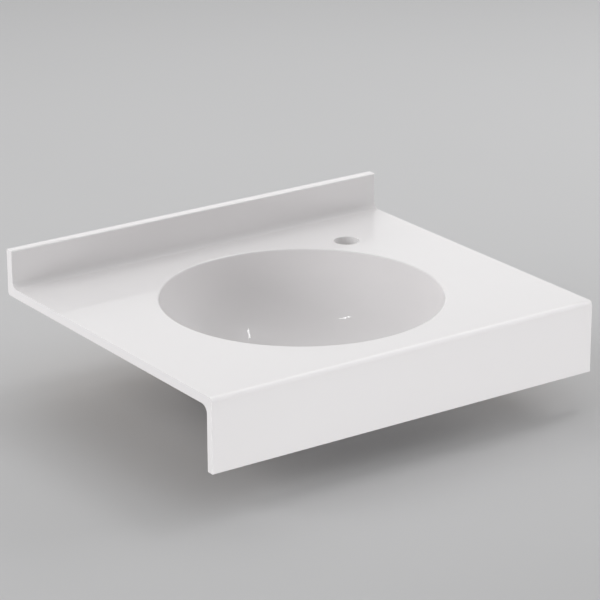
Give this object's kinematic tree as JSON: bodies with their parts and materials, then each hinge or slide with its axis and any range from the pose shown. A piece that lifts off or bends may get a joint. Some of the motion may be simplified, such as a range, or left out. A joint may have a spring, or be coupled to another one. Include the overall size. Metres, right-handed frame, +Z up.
{
  "type": "vanity sink top",
  "caption": "Rectangular vanity sink top with a round bowl, a tap hole, a coved backsplash and a drop apron, on a plywood sub-frame.",
  "frame": {"origin": "on the wall plane, on the centre line, at the height of the deck's finished top", "axes": "+X to the user's right, +Y into the wall, +Z up; the user stands towards -Y"},
  "size_m": [0.6, 0.5, 0.2],
  "materials": {
    "solid_surface": "sanded and polished to a satin gloss",
    "bowl_moulding": "satin gloss inside, as cast outside",
    "adhesive": "as squeezed out",
    "plywood": "sealed, plies showing at the edges",
    "silicone": "grey, cured",
    "brass": "turned"
  },
  "bodies": {
    "root": {"deck_sheet": "solid_surface", "cove_strip": "solid_surface", "backsplash": "solid_surface", "front_apron": "solid_surface", "apron_fillet": "solid_surface", "bowl": "bowl_moulding", "bowl_bond_bead": "adhesive", "left_rail": "plywood", "right_rail": "plywood", "rear_rail": "plywood", "left_rail_bed": "silicone", "right_rail_bed": "silicone", "rear_rail_bed": "silicone", "left_front_insert": "brass", "left_rear_insert": "brass", "right_front_insert": "brass", "right_rear_insert": "brass", "rear_left_insert": "brass", "rear_right_insert": "brass"}
  },
  "joints": []
}
